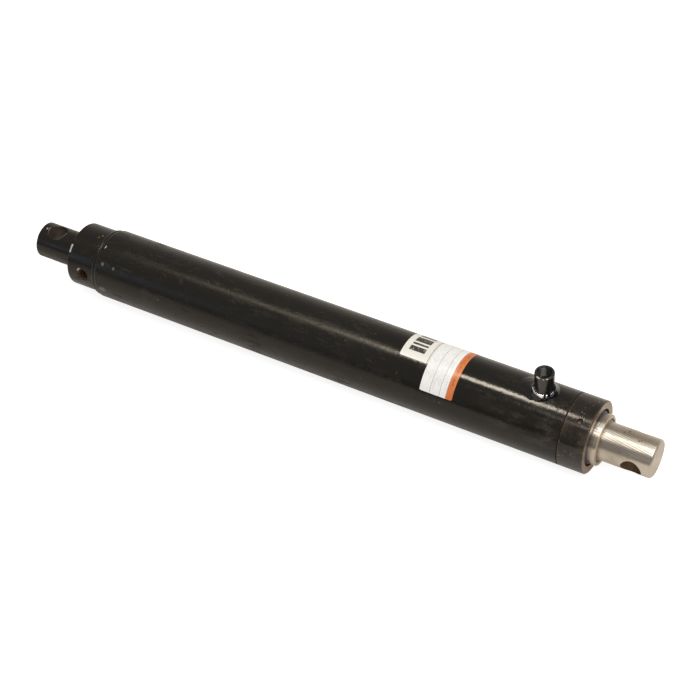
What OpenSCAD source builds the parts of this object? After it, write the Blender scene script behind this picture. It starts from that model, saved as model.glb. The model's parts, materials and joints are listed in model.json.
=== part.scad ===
// Two-stage, single-acting telescopic hydraulic cylinder, drawn fully retracted.
//
// The origin is the centre of the base pin hole. +X runs along the cylinder to the
// plunger's eye, and +Z is the direction in which the head port points. An angle about
// the cylinder starts at +Z and grows towards -Y.

/* [Barrel] */
// Outside diameter of the barrel tube
barrel_od = 73.025; // [72.5:0.005:74]
// Inside diameter of the barrel tube
barrel_id = 63.5; // [63:0.1:64]
// X of the open end of the barrel tube, where the gland seats
barrel_end_x = 599.75; // [595:0.25:605]

/* [Pin holes] */
// Distance between the two pin holes with both stages retracted
pin_centres = 666.75; // [662:0.25:672]
// Diameter of each pin hole
pin_hole_d = 20.64; // [16:0.02:21]
// Distance from each pin hole to the tip beside it
pin_to_tip = 19.05; // [17:0.05:21]
// Angle of the plunger's pin hole about the cylinder
plunger_hole_angle = 106; // [0:1:180]

/* [Base end] */
// Diameter of the round lug that carries the base pin hole
lug_d = 38.1; // [36:0.1:40]
// Diameter of the collar behind the lug
collar_d = 67.2; // [66:0.1:69]
// X of the collar's face on the lug side
collar_x = 33.65; // [32:0.05:36]
// X of the collar's face on the barrel side
collar_end_x = 64.5; // [62:0.25:66]
// Length of the spigot that plugs the barrel tube
spigot_len = 20.5; // [18:0.5:24]
// X of the port in the collar
base_port_x = 53; // [51:0.5:55]
// Angle of the port in the collar about the cylinder
base_port_angle = 83; // [60:1:120]

/* [Ports] */
// Diameter inside the port threads
port_thread_d = 11.4; // [11:0.1:12]
// Diameter of the countersunk mouth of each port
port_mouth_d = 13.7; // [13:0.1:14.4]
// Depth of the threaded stretch in each port
port_thread_depth = 15; // [13:0.5:16]
// Diameter of the oil drillings behind the port threads
oilway_d = 8; // [6:0.5:9]
// Diameter of the welded boss that carries the head port
boss_d = 19.05; // [18:0.05:22]
// X of the head port boss
boss_x = 570.35; // [567:0.05:571]
// Height of the boss's top face above the cylinder's axis
boss_top = 63.6; // [58:0.1:66]

/* [Gland] */
// Length of the gland that shows past the barrel
gland_len = 26; // [25:0.5:30]
// Length of the gland's spigot inside the barrel
gland_spigot_len = 18.75; // [17:0.25:19]
// Diameter of the mouth that holds the gland's wiper
gland_mouth_d = 57.2; // [56:0.1:58]
// Diameter of the pin spanner holes
spanner_hole_d = 6; // [4:0.5:7]
// Angle of the first pin spanner hole about the cylinder
spanner_hole_angle = 26; // [0:1:90]

/* [Sleeve] */
// Outside diameter of the sleeve tube
sleeve_od = 49.2; // [48.6:0.1:49.6]
// Inside diameter of the sleeve tube
sleeve_id = 44.45; // [44:0.05:45]
// Diameter of the flange on the sleeve's head
head_d = 50.8; // [50:0.1:52]
// Thickness of that flange
head_flange_len = 5.05; // [4.5:0.05:6]
// Gap from the gland's face to that flange when retracted
head_gap = 3.05; // [1:0.05:5]
// Length of the head's spigot inside the sleeve tube
head_spigot_len = 40; // [38:0.5:45]

/* [Plunger] */
// Diameter of the plunger
plunger_d = 38.1; // [37.6:0.1:38.3]

/* [Strokes] */
// Travel of the sleeve out of the barrel
sleeve_stroke = 457.2; // [440:0.1:459]
// Travel of the plunger out of the sleeve
plunger_stroke = 457.2; // [440:0.1:459]

/* [Labels] */
// Distance along the barrel from the base pin hole to the labels
label_x = 423.8; // [380:0.1:440]
// Width of the number label along the barrel
number_label_w = 30.8; // [25:0.1:40]
// Angle at which the number label starts, on the far side
number_label_start = -88; // [-120:1:-60]
// Angle at which the number label ends
number_label_end = 21.4; // [0:0.2:60]
// Width of the notice label along the barrel
notice_label_w = 34.7; // [30:0.1:45]
// Angle at which the notice label starts, on the far side
notice_label_start = -78; // [-120:1:-60]
// Angle at which the notice label ends
notice_label_end = 62.4; // [30:0.2:90]

/* [Clearances] */
// Radial running clearance of every bearing surface
run_gap = 0.1; // [0.05:0.01:0.1]
// Radial clearance under the lips of the wipers and seals
lip_gap = 0.05; // [0.02:0.01:0.08]

/* [Hidden] */

turned_fn = 96;
drilled_fn = 48;
blend_fn = 32;
eps = 0.01;
cut_past = 1;

barrel_r = barrel_od / 2;
barrel_bore_r = barrel_id / 2;
sleeve_r = sleeve_od / 2;
sleeve_bore_r = sleeve_id / 2;
plunger_r = plunger_d / 2;
collar_r = collar_d / 2;
lug_r = lug_d / 2;

edge_chamfer = 1;
lug_chamfer = 0.5;
collar_chamfer = 0.4;
seam_chamfer = 0.5;
tip_chamfer = 1.6;

base_face_x = collar_end_x + spigot_len;
weld_root_depth = 2.5;
weld_root_x = collar_end_x + weld_root_depth;
weld_root_gap = 1.5;
barrel_start_x = weld_root_x + weld_root_gap;
bevel_len = 5.5;
weld_crown = 0.9;
second_weld_crown = 0.3;
weld_run_steps = 6;

gland_face_x = barrel_end_x + gland_len;
gland_stop_x = barrel_end_x - gland_spigot_len;
gland_mouth_r = gland_mouth_d / 2;
gland_mouth_depth = 6.25;
spanner_hole_inset = 14;
spanner_hole_x = barrel_end_x + spanner_hole_inset;
spanner_hole_depth = 5;

head_x = gland_face_x + head_gap;
head_face_x = head_x + head_flange_len;
head_stop_x = head_x - head_spigot_len;
head_mouth_r = 22;
head_mouth_depth = 4.6;

snap_w = 1.6;
snap_proud = 1.9;
snap_bite = 1.1;
snap_side_gap = 0.1;
snap_gap_angle = 16;

inner_snap_x = base_face_x + 2;
stop_ring_x = inner_snap_x + snap_w;
stop_ring_len = 5;
stop_ring_bore_r = 15;
plunger_start_x = stop_ring_x + stop_ring_len;

stage_foot_len = 3.4;
lower_snap_x = plunger_start_x + stage_foot_len;
guide_x = lower_snap_x + snap_w + snap_side_gap;
sleeve_guide_end_x = gland_stop_x - sleeve_stroke;
plunger_guide_end_x = head_stop_x - plunger_stroke;
nest_depth = 3.3;
nest_gap = 0.5;

label_t = 0.15;
label_gap = 0.2;

// Seals and bearing bands. An inset is measured from the end of the piece with the seat
o_ring_d = 2.6;
head_o_ring_d = 1.6;
gland_o_inset = 4;
gland_o_len = 3.4;
head_o_inset = 4.4;
head_o_len = 2.2;
wear_band_len = 12;
gland_band_inset = 9.5;
gland_band_t = 2.5;
head_band_inset = 6;
head_band_t = 1.85;
guide_band_inset = 5;
guide_band_t = 1.6;
gland_seal_inset = 18.5;
gland_seal_len = 7;
head_seal_inset = 13.5;
head_seal_len = 6.5;
head_seal_t = 2.35;
seal_notch_share = 0.2;
seal_notch_depth_share = 0.45;
wiper_body_share = 0.45;
wiper_lip_share = 0.68;
wiper_edge_share = 0.8;

// Seat cut for a ring, as [first x, last x, radius]
function seat(x, len, r) = [x, x + len, r];

gland_o_seat = seat(gland_stop_x + gland_o_inset, gland_o_len, barrel_bore_r - o_ring_d);
gland_band_seat = seat(gland_stop_x + gland_band_inset, wear_band_len, sleeve_r + gland_band_t);
gland_seal_seat = seat(gland_face_x - gland_seal_inset, gland_seal_len, gland_mouth_r);
head_o_seat = seat(head_x - head_o_inset, head_o_len, sleeve_bore_r - head_o_ring_d);
head_band_seat = seat(head_stop_x + head_band_inset, wear_band_len, plunger_r + head_band_t);
head_seal_seat = seat(head_x - head_seal_inset, head_seal_len, plunger_r + head_seal_t);
guide_band_seat = seat(guide_x + guide_band_inset,
                       sleeve_guide_end_x - guide_x - 2 * guide_band_inset,
                       barrel_bore_r - guide_band_t);

// ---- Shapes that repeat ----

// Body turned about the cylinder's axis, from points of [radius, x]
module turned(points) {
    rotate([0, 90, 0])
        rotate_extrude($fn = turned_fn)
            polygon(points);
}

// Plain ring about the cylinder's axis
module ring(x0, x1, r_in, r_out) {
    turned([[r_in, x0], [r_out, x0], [r_out, x1], [r_in, x1]]);
}

// Part of a ring, from angle a0 to angle a1 about the cylinder
module ring_part(x0, x1, r_in, r_out, a0, a1) {
    rotate([0, 90, 0])
        rotate([0, 0, 180 + a0])
            rotate_extrude(angle = a1 - a0, $fn = turned_fn)
                polygon([[r_in, x0], [r_out, x0], [r_out, x1], [r_in, x1]]);
}

// Round-section ring about the cylinder's axis
module o_ring(x, r, section_d) {
    rotate([0, 90, 0])
        rotate_extrude($fn = turned_fn)
            translate([r, x])
                circle(d = section_d, $fn = drilled_fn);
}

// Children that stand along +Z are turned to an angle about the cylinder at place x
module radial(x, angle) {
    translate([x, 0, 0])
        rotate([angle, 0, 0])
            children();
}

// Hole right across the cylinder's axis
module cross_hole(x, angle, d, reach) {
    radial(x, angle)
        cylinder(d = d, h = 2 * reach, center = true, $fn = drilled_fn);
}

// Countersunk port, threaded and then drilled on, with its mouth at height top
module port_hole(top, drill_to) {
    sink_depth = (port_mouth_d - port_thread_d) / 2;
    translate([0, 0, top - port_thread_depth])
        cylinder(d = port_thread_d, h = port_thread_depth + cut_past, $fn = drilled_fn);
    translate([0, 0, top - sink_depth])
        cylinder(d1 = port_thread_d, d2 = port_mouth_d + 2 * eps, h = sink_depth + eps,
                 $fn = drilled_fn);
    translate([0, 0, drill_to])
        cylinder(d = oilway_d, h = top - port_thread_depth - drill_to + eps, $fn = drilled_fn);
}

// Points of one weld run, from [radius, x] a towards b without b, humped by crown
function weld_run(a, b, crown) = [
    for (i = [0 : weld_run_steps - 1])
        let (t = i / weld_run_steps)
            a + (b - a) * t + [crown * sin(180 * t), 0]
];

// Lip seal with its open side towards -X, where the pressure is
module lip_seal(x0, x1, r_in, r_out) {
    r_mid = (r_in + r_out) / 2;
    notch_half = (r_out - r_in) * seal_notch_share;
    notch_depth = (x1 - x0) * seal_notch_depth_share;
    turned([
        [r_in, x0], [r_mid - notch_half, x0], [r_mid, x0 + notch_depth],
        [r_mid + notch_half, x0], [r_out, x0], [r_out, x1], [r_in, x1]
    ]);
}

// Wiper whose lip stands out of its seat, from x0 to the lip's edge at x1
module wiper(x0, x1, r_lip, r_seat) {
    body_end_x = x0 + (x1 - x0) * wiper_body_share;
    lip_t = (r_seat - r_lip) * wiper_lip_share;
    turned([
        [r_lip, x0], [r_seat, x0], [r_seat, body_end_x],
        [r_lip + lip_t, body_end_x], [r_lip + lip_t * wiper_edge_share, x1], [r_lip, x1]
    ]);
}

// ---- Barrel ----

module base_end() {
    drill_x = base_port_x - oilway_d / 2;
    groove_w = 6;
    groove_depth = 3;
    color([0.16, 0.15, 0.14])
        difference() {
            turned([
                [0, -pin_to_tip], [lug_r - lug_chamfer, -pin_to_tip],
                [lug_r, lug_chamfer - pin_to_tip], [lug_r, collar_x],
                [collar_r - collar_chamfer, collar_x], [collar_r, collar_x + collar_chamfer],
                [collar_r, collar_end_x], [barrel_bore_r, weld_root_x],
                [barrel_bore_r, base_face_x - edge_chamfer],
                [barrel_bore_r - edge_chamfer, base_face_x], [0, base_face_x]
            ]);
            cross_hole(0, 0, pin_hole_d, lug_r + cut_past);
            radial(base_port_x, base_port_angle)
                port_hole(collar_r, 0);
            translate([drill_x, 0, 0])
                rotate([0, 90, 0])
                    cylinder(d = oilway_d, h = base_face_x - drill_x + eps, $fn = drilled_fn);
            for (angle = [0, 90])
                radial(base_face_x, angle)
                    cube([2 * groove_depth, groove_w, barrel_id + eps], center = true);
        }
}

module base_weld() {
    toe_x = barrel_start_x + bevel_len;
    mid_x = (collar_end_x + toe_x) / 2;
    mid_r = (collar_r + barrel_r) / 2 + second_weld_crown;
    color([0.15, 0.14, 0.13])
        turned(concat(
            [[collar_r, collar_end_x], [barrel_bore_r, weld_root_x]],
            [[barrel_bore_r, barrel_start_x]],
            weld_run([barrel_r, toe_x], [mid_r, mid_x], second_weld_crown),
            weld_run([mid_r, mid_x], [collar_r, collar_end_x], weld_crown)
        ));
}

module barrel_tube() {
    color([0.17, 0.16, 0.15])
        difference() {
            turned([
                [barrel_bore_r, barrel_start_x], [barrel_r, barrel_start_x + bevel_len],
                [barrel_r, barrel_end_x - seam_chamfer],
                [barrel_r - seam_chamfer, barrel_end_x], [barrel_bore_r, barrel_end_x]
            ]);
            radial(boss_x, 0)
                cylinder(d = oilway_d, h = barrel_od, $fn = drilled_fn);
        }
}

module port_boss() {
    color([0.12, 0.12, 0.12])
        difference() {
            radial(boss_x, 0)
                difference() {
                    union() {
                        cylinder(d = boss_d, h = boss_top - edge_chamfer, $fn = drilled_fn);
                        translate([0, 0, boss_top - edge_chamfer])
                            cylinder(d1 = boss_d, d2 = boss_d - 2 * edge_chamfer,
                                     h = edge_chamfer, $fn = drilled_fn);
                    }
                    port_hole(boss_top, 0);
                }
            ring(boss_x - boss_d, boss_x + boss_d, 0, barrel_r);
        }
}

// Heavy fillet that spreads further towards the base and the far side than towards
// the gland
module port_weld() {
    foot_x = -6.5;
    foot_y = 4.5;
    foot_rx = 19;
    foot_ry = 15;
    foot_z = 32;
    foot_t = 1;
    bead_z = 43.5;
    bead_w = 2;
    bead_r = boss_d / 2 + bead_w;
    color([0.13, 0.13, 0.12])
        difference() {
            translate([boss_x, 0, 0])
                hull() {
                    translate([foot_x, foot_y, foot_z])
                        scale([foot_rx / foot_ry, 1, 1])
                            cylinder(r = foot_ry, h = foot_t, $fn = blend_fn);
                    translate([0, 0, foot_z])
                        cylinder(r = bead_r, h = bead_z - foot_z, $fn = blend_fn);
                }
            ring(boss_x - barrel_r, boss_x + barrel_r, 0, barrel_r);
            translate([boss_x, 0, 0])
                cylinder(d = boss_d, h = boss_top, $fn = drilled_fn);
        }
}

module number_label() {
    color([0.88, 0.86, 0.80])
        ring_part(label_x, label_x + number_label_w, barrel_r, barrel_r + label_t,
                  number_label_start, number_label_end);
}

module notice_label() {
    x0 = label_x + number_label_w + label_gap;
    color([0.86, 0.85, 0.82])
        ring_part(x0, x0 + notice_label_w, barrel_r, barrel_r + label_t,
                  notice_label_start, notice_label_end);
}

// ---- Gland in the barrel's mouth ----

module gland_nut() {
    bore_r = sleeve_r + run_gap;
    color([0.22, 0.19, 0.17])
        difference() {
            turned([
                [bore_r, gland_stop_x], [barrel_bore_r, gland_stop_x],
                [barrel_bore_r, barrel_end_x], [barrel_r - seam_chamfer, barrel_end_x],
                [barrel_r, barrel_end_x + seam_chamfer], [barrel_r, gland_face_x - edge_chamfer],
                [barrel_r - edge_chamfer, gland_face_x], [gland_mouth_r, gland_face_x],
                [gland_mouth_r, gland_face_x - gland_mouth_depth],
                [bore_r, gland_face_x - gland_mouth_depth]
            ]);
            ring(gland_band_seat[0], gland_band_seat[1], sleeve_r, gland_band_seat[2]);
            ring(gland_seal_seat[0], gland_seal_seat[1], sleeve_r, gland_seal_seat[2]);
            ring(gland_o_seat[0], gland_o_seat[1], gland_o_seat[2], barrel_r);
            for (angle = [spanner_hole_angle, spanner_hole_angle + 180])
                radial(spanner_hole_x, angle)
                    translate([0, 0, barrel_r - spanner_hole_depth])
                        cylinder(d = spanner_hole_d, h = 2 * spanner_hole_depth,
                                 $fn = drilled_fn);
        }
}

module gland_o_ring() {
    color([0.08, 0.08, 0.08])
        o_ring((gland_o_seat[0] + gland_o_seat[1]) / 2, gland_o_seat[2] + o_ring_d / 2, o_ring_d);
}

module gland_wear_band() {
    color([0.75, 0.70, 0.55])
        ring(gland_band_seat[0], gland_band_seat[1], sleeve_r + lip_gap, gland_band_seat[2]);
}

module gland_seal() {
    color([0.20, 0.32, 0.62])
        lip_seal(gland_seal_seat[0], gland_seal_seat[1], sleeve_r + lip_gap, gland_seal_seat[2]);
}

module gland_wiper() {
    wiper_inset = 0.5;
    color([0.16, 0.18, 0.62])
        wiper(gland_face_x - gland_mouth_depth, gland_face_x - wiper_inset,
              sleeve_r + lip_gap, gland_mouth_r);
}

// ---- Sleeve, the outer stage ----

module sleeve_guide_ring() {
    oil_hole_d = 2;
    oil_hole_r = 28.4;
    oil_holes = 8;
    rim_gap = 0.3;
    outer_r = barrel_bore_r - rim_gap;
    nest_r = sleeve_r + snap_proud + nest_gap;
    color([0.55, 0.52, 0.48])
        difference() {
            turned([
                [sleeve_r + run_gap, guide_x], [outer_r, guide_x],
                [outer_r, guide_band_seat[0]], [guide_band_seat[2], guide_band_seat[0]],
                [guide_band_seat[2], guide_band_seat[1]], [outer_r, guide_band_seat[1]],
                [outer_r, sleeve_guide_end_x], [nest_r, sleeve_guide_end_x],
                [nest_r, sleeve_guide_end_x - nest_depth],
                [sleeve_r + run_gap, sleeve_guide_end_x - nest_depth]
            ]);
            for (i = [0 : oil_holes - 1])
                radial(guide_x, i * 360 / oil_holes)
                    translate([-cut_past, 0, oil_hole_r])
                        rotate([0, 90, 0])
                            cylinder(d = oil_hole_d,
                                     h = sleeve_guide_end_x - guide_x + 2 * cut_past,
                                     $fn = drilled_fn);
        }
}

module sleeve_guide_band() {
    color([0.75, 0.70, 0.55])
        ring(guide_band_seat[0], guide_band_seat[1], guide_band_seat[2],
             barrel_bore_r - run_gap);
}

module sleeve_tube() {
    color([0.72, 0.70, 0.66])
        difference() {
            ring(base_face_x, head_x, sleeve_bore_r, sleeve_r);
            for (x = [lower_snap_x, sleeve_guide_end_x - nest_depth + snap_side_gap])
                ring(x, x + snap_w, sleeve_r - snap_bite, sleeve_r + cut_past);
            ring(inner_snap_x, inner_snap_x + snap_w, sleeve_bore_r - cut_past,
                 sleeve_bore_r + snap_bite);
        }
}

module sleeve_head() {
    bore_r = plunger_r + run_gap;
    color([0.70, 0.66, 0.60])
        difference() {
            turned([
                [bore_r, head_stop_x], [sleeve_bore_r, head_stop_x], [sleeve_bore_r, head_x],
                [head_d / 2, head_x], [head_d / 2, head_face_x - edge_chamfer],
                [head_d / 2 - edge_chamfer, head_face_x], [head_mouth_r, head_face_x],
                [head_mouth_r, head_face_x - head_mouth_depth],
                [bore_r, head_face_x - head_mouth_depth]
            ]);
            ring(head_band_seat[0], head_band_seat[1], plunger_r, head_band_seat[2]);
            ring(head_seal_seat[0], head_seal_seat[1], plunger_r, head_seal_seat[2]);
            ring(head_o_seat[0], head_o_seat[1], head_o_seat[2], sleeve_bore_r + cut_past);
        }
}

module head_o_ring() {
    color([0.08, 0.08, 0.08])
        o_ring((head_o_seat[0] + head_o_seat[1]) / 2, head_o_seat[2] + head_o_ring_d / 2,
               head_o_ring_d);
}

module head_wear_band() {
    color([0.75, 0.70, 0.55])
        ring(head_band_seat[0], head_band_seat[1], plunger_r + lip_gap, head_band_seat[2]);
}

module head_seal() {
    color([0.20, 0.32, 0.62])
        lip_seal(head_seal_seat[0], head_seal_seat[1], plunger_r + lip_gap, head_seal_seat[2]);
}

module head_wiper() {
    wiper_inset = 0.3;
    color([0.45, 0.40, 0.34])
        wiper(head_face_x - head_mouth_depth, head_face_x - wiper_inset,
              plunger_r + lip_gap, head_mouth_r);
}

// Two split rings that hold the guide ring on the sleeve
module sleeve_snap_rings() {
    color([0.35, 0.34, 0.33])
        for (x = [lower_snap_x, sleeve_guide_end_x - nest_depth + snap_side_gap])
            ring_part(x, x + snap_w, sleeve_r - snap_bite, sleeve_r + snap_proud,
                      snap_gap_angle / 2, 360 - snap_gap_angle / 2);
}

// Floor of the sleeve that lifts the plunger while the sleeve extends
module sleeve_stop_ring() {
    color([0.50, 0.49, 0.47])
        ring(stop_ring_x, stop_ring_x + stop_ring_len, stop_ring_bore_r, sleeve_bore_r);
}

module sleeve_stop_snap_ring() {
    color([0.35, 0.34, 0.33])
        ring_part(inner_snap_x, inner_snap_x + snap_w, sleeve_bore_r - snap_proud,
                  sleeve_bore_r + snap_bite, snap_gap_angle / 2, 360 - snap_gap_angle / 2);
}

// ---- Plunger, the inner stage ----

module plunger_guide_ring() {
    oil_slots = 4;
    slot_w = 5;
    slot_depth = 0.8;
    outer_r = sleeve_bore_r - run_gap;
    nest_r = plunger_r + snap_proud / 2 + nest_gap;
    len = plunger_guide_end_x - guide_x;
    color([0.66, 0.52, 0.30])
        difference() {
            turned([
                [plunger_r + run_gap, guide_x], [outer_r, guide_x],
                [outer_r, plunger_guide_end_x], [nest_r, plunger_guide_end_x],
                [nest_r, plunger_guide_end_x - nest_depth],
                [plunger_r + run_gap, plunger_guide_end_x - nest_depth]
            ]);
            for (i = [0 : oil_slots - 1])
                radial(guide_x + len / 2, i * 360 / oil_slots)
                    translate([0, 0, outer_r])
                        cube([len + 2 * cut_past, slot_w, 2 * slot_depth], center = true);
        }
}

module plunger_rod() {
    tip_x = pin_centres + pin_to_tip;
    color([0.74, 0.72, 0.68])
        difference() {
            turned([
                [0, plunger_start_x], [plunger_r - edge_chamfer, plunger_start_x],
                [plunger_r, plunger_start_x + edge_chamfer], [plunger_r, tip_x - tip_chamfer],
                [plunger_r - tip_chamfer, tip_x], [0, tip_x]
            ]);
            for (x = [lower_snap_x, plunger_guide_end_x - nest_depth + snap_side_gap])
                ring(x, x + snap_w, plunger_r - snap_bite, plunger_r + cut_past);
            cross_hole(pin_centres, plunger_hole_angle, pin_hole_d, plunger_r + cut_past);
        }
}

// Two split rings that hold the guide ring on the plunger
module plunger_snap_rings() {
    color([0.35, 0.34, 0.33])
        for (x = [lower_snap_x, plunger_guide_end_x - nest_depth + snap_side_gap])
            ring_part(x, x + snap_w, plunger_r - snap_bite, plunger_r + snap_proud / 2,
                      snap_gap_angle / 2, 360 - snap_gap_angle / 2);
}

base_end();
base_weld();
barrel_tube();
port_boss();
port_weld();
number_label();
notice_label();
gland_nut();
gland_o_ring();
gland_wear_band();
gland_seal();
gland_wiper();
sleeve_guide_ring();
sleeve_guide_band();
sleeve_tube();
sleeve_head();
head_o_ring();
head_wear_band();
head_seal();
head_wiper();
sleeve_snap_rings();
sleeve_stop_ring();
sleeve_stop_snap_ring();
plunger_guide_ring();
plunger_rod();
plunger_snap_rings();
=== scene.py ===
"""Looks of a two-stage telescopic hydraulic cylinder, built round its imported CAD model.

Lengths are in metres in the CAD frame: the origin is the centre of the base pin hole, +X
runs along the cylinder to the plunger's eye, and +Z is the direction of the head port.
An angle about the cylinder is in degrees, starts at +Z and grows towards -Y.
"""
import json
import math

import bmesh
import bpy
from mathutils import Matrix, Vector, noise


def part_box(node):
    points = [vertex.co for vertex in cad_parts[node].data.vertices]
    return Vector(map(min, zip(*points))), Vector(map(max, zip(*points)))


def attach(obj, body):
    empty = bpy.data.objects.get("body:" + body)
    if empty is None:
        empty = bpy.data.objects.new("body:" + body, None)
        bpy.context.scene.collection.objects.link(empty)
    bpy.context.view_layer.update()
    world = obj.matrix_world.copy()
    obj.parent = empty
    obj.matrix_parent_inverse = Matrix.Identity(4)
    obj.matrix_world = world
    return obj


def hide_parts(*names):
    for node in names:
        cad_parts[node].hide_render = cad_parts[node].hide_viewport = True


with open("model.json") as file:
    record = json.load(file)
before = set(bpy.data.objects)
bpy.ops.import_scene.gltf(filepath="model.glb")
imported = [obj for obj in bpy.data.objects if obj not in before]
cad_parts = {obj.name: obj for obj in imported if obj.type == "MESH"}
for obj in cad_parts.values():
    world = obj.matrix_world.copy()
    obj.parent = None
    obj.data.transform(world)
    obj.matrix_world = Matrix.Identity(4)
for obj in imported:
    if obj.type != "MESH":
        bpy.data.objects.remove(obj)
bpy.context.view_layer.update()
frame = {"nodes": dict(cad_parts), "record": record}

MM = 0.001


# ---- Sizes ----

def outer_radius(node):
    """Largest distance of a CAD node's surface from the cylinder's axis."""
    return max(math.hypot(v.co.y, v.co.z) for v in frame["nodes"][node].data.vertices)


def inner_radius(node):
    """Smallest distance of a CAD node's surface from the cylinder's axis."""
    return min(math.hypot(v.co.y, v.co.z) for v in frame["nodes"][node].data.vertices)


def span(node):
    """First and last X of a CAD node."""
    low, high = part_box(node)
    return low.x, high.x


MOUNTS = {mount["name"]: mount for mount in frame["record"]["mounts"]}
BARREL_R = outer_radius("barrel_tube")
BARREL_BORE_R = inner_radius("barrel_tube")
SLEEVE_R = outer_radius("sleeve_tube")
SLEEVE_BORE_R = inner_radius("sleeve_tube")
HEAD_R = outer_radius("sleeve_head")
PLUNGER_R = outer_radius("plunger_rod")
WIPER_SEAT_R = outer_radius("gland_wiper")
HEAD_SEAT_R = outer_radius("head_wiper")
LUG_R = PLUNGER_R
COLLAR_R = 33.6 * MM
COLLAR_X = 33.65 * MM
COLLAR_END_X = span("base_weld")[0]
TIP_X = span("base_end")[0]
BASE_FACE_X = span("base_end")[1]
TUBE_START_X, SEAM_X = span("barrel_tube")
WELD_END_X = span("base_weld")[1]
GLAND_BACK_X, GLAND_FACE_X = span("gland_nut")
HEAD_BACK_X, HEAD_FACE_X = span("sleeve_head")
HEAD_X = span("sleeve_tube")[1]
PIN_HOLE_R = MOUNTS["base_pin_bore"]["dims"]["r_mm"] * MM
PLUNGER_PIN_X = MOUNTS["plunger_pin_bore"]["pos_m"][0]
PLUNGER_PIN_ANGLE = 106
BASE_PORT_X = MOUNTS["base_port"]["pos_m"][0]
BASE_PORT_ANGLE = 83
PORT_CREST_R = MOUNTS["head_port"]["dims"]["r_mm"] * MM
PORT_ROOT_R = PORT_CREST_R + 0.75 * MM
PORT_MOUTH_R = PORT_CREST_R + 1.15 * MM
PORT_DEPTH = 15 * MM
OILWAY_R = 4 * MM
BOSS_X = MOUNTS["head_port"]["pos_m"][0]
BOSS_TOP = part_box("port_boss")[1].z
BOSS_R = (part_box("port_boss")[1].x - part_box("port_boss")[0].x) / 2
BEAD_Z = 42.3 * MM
BEAD_D = 0.7 * MM
SPANNER_X = SEAM_X + 14 * MM
SPANNER_ANGLES = (26, 206)
SPANNER_R = 3 * MM
SPANNER_DEPTH = 5 * MM
FLOOR_Z = -BARREL_R


def turn_x(angle):
    """Rotation that takes +Z to an angle about the cylinder."""
    return Matrix.Rotation(math.radians(angle), 4, "X")


def on_cylinder(x, angle, radius=BARREL_R):
    """The point at place x, at that angle and radius about the cylinder."""
    a = math.radians(angle)
    return Vector((x, -radius * math.sin(a), radius * math.cos(a)))


# ---- Mesh helpers ----

def new_object(name, data):
    """Object of some data, linked to the scene."""
    obj = bpy.data.objects.new(name, data)
    bpy.context.scene.collection.objects.link(obj)
    return obj


def face_outward(mesh):
    """Turns the faces of a closed mesh to look outward."""
    bm = bmesh.new()
    bm.from_mesh(mesh)
    bmesh.ops.recalc_face_normals(bm, faces=bm.faces)
    bm.to_mesh(mesh)
    bm.free()


def full_turn(steps):
    """Angles of equal steps round a full turn, in radians."""
    return [2 * math.pi * i / steps for i in range(steps)]


def finish_mesh(name, mesh, body, material, nodes=(), sharp=35):
    """Makes a piece of a mesh: smooth shading with creases, body, slot, material."""
    bm = bmesh.new()
    bm.from_mesh(mesh)
    bmesh.ops.recalc_face_normals(bm, faces=bm.faces)
    limit = math.radians(sharp)
    for face in bm.faces:
        face.smooth = True
    for edge in bm.edges:
        edge.smooth = len(edge.link_faces) == 2 and edge.calc_face_angle(0) < limit
    bm.to_mesh(mesh)
    bm.free()
    obj = new_object(name, mesh)
    mesh.materials.clear()
    mesh.materials.append(material)
    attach(obj, body)
    if nodes:
        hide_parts(*nodes)
    return obj


def loft(rings, closed):
    """Mesh through rings of points. Closed joins the last ring to the first, and
    otherwise both ends are capped."""
    count = len(rings[0])
    verts = [p for ring in rings for p in ring]
    faces = []
    for i in range(len(rings) if closed else len(rings) - 1):
        a = i * count
        b = (i + 1) % len(rings) * count
        for j in range(count):
            k = (j + 1) % count
            faces.append((a + j, a + k, b + k, b + j))
    if not closed:
        faces.append(tuple(range(count)))
        faces.append(tuple(range(len(verts) - 1, len(verts) - count - 1, -1)))
    mesh = bpy.data.meshes.new("loft")
    mesh.from_pydata(verts, [], faces)
    return mesh


def circle(x, radius, steps):
    """Ring of points round the cylinder's axis."""
    return [(x, radius * math.cos(t), radius * math.sin(t)) for t in full_turn(steps)]


def soften(corners, closed, steps=4, hold=0.35):
    """Outline of (x, r, round) corners with each corner rounded by its third number.

    A point is added just past each end of a rounded corner, so that shading stays flat
    on the long stretches between them."""
    points = []
    last = len(corners) - 1
    for i, (x, r, size) in enumerate(corners):
        here = Vector((x, r))
        if size == 0 or (not closed and i in (0, last)):
            points.append(here)
            continue
        back = Vector(corners[i - 1][:2]) - here
        ahead = Vector(corners[(i + 1) % len(corners)][:2]) - here
        size = min(size, back.length * 0.4, ahead.length * 0.4)
        start = here + back.normalized() * size
        end = here + ahead.normalized() * size
        points.append(start + back.normalized() * size * hold)
        for step in range(steps + 1):
            t = step / steps
            points.append(start * (1 - t) ** 2 + here * 2 * t * (1 - t) + end * t * t)
        points.append(end + ahead.normalized() * size * hold)
    return points


def long_stretches(points, longest):
    """Outline with points added so that no stretch is longer than that."""
    out = []
    for a, b in zip(points, points[1:] + points[:1]):
        out.append(a)
        parts = int((b - a).length / longest)
        out += [a.lerp(b, (i + 1) / (parts + 1)) for i in range(parts)]
    return out


def lathe(corners, solid=False, steps=256, longest=20 * MM):
    """Mesh turned about the cylinder's axis. A solid starts and ends close to the axis,
    and any other outline is closed."""
    points = soften(corners, closed=not solid)
    tail = points[-1]
    points = long_stretches(points, longest)
    if solid:
        points = points[:points.index(tail) + 1]
    return loft([circle(p.x, p.y, steps) for p in points], closed=not solid)


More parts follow.
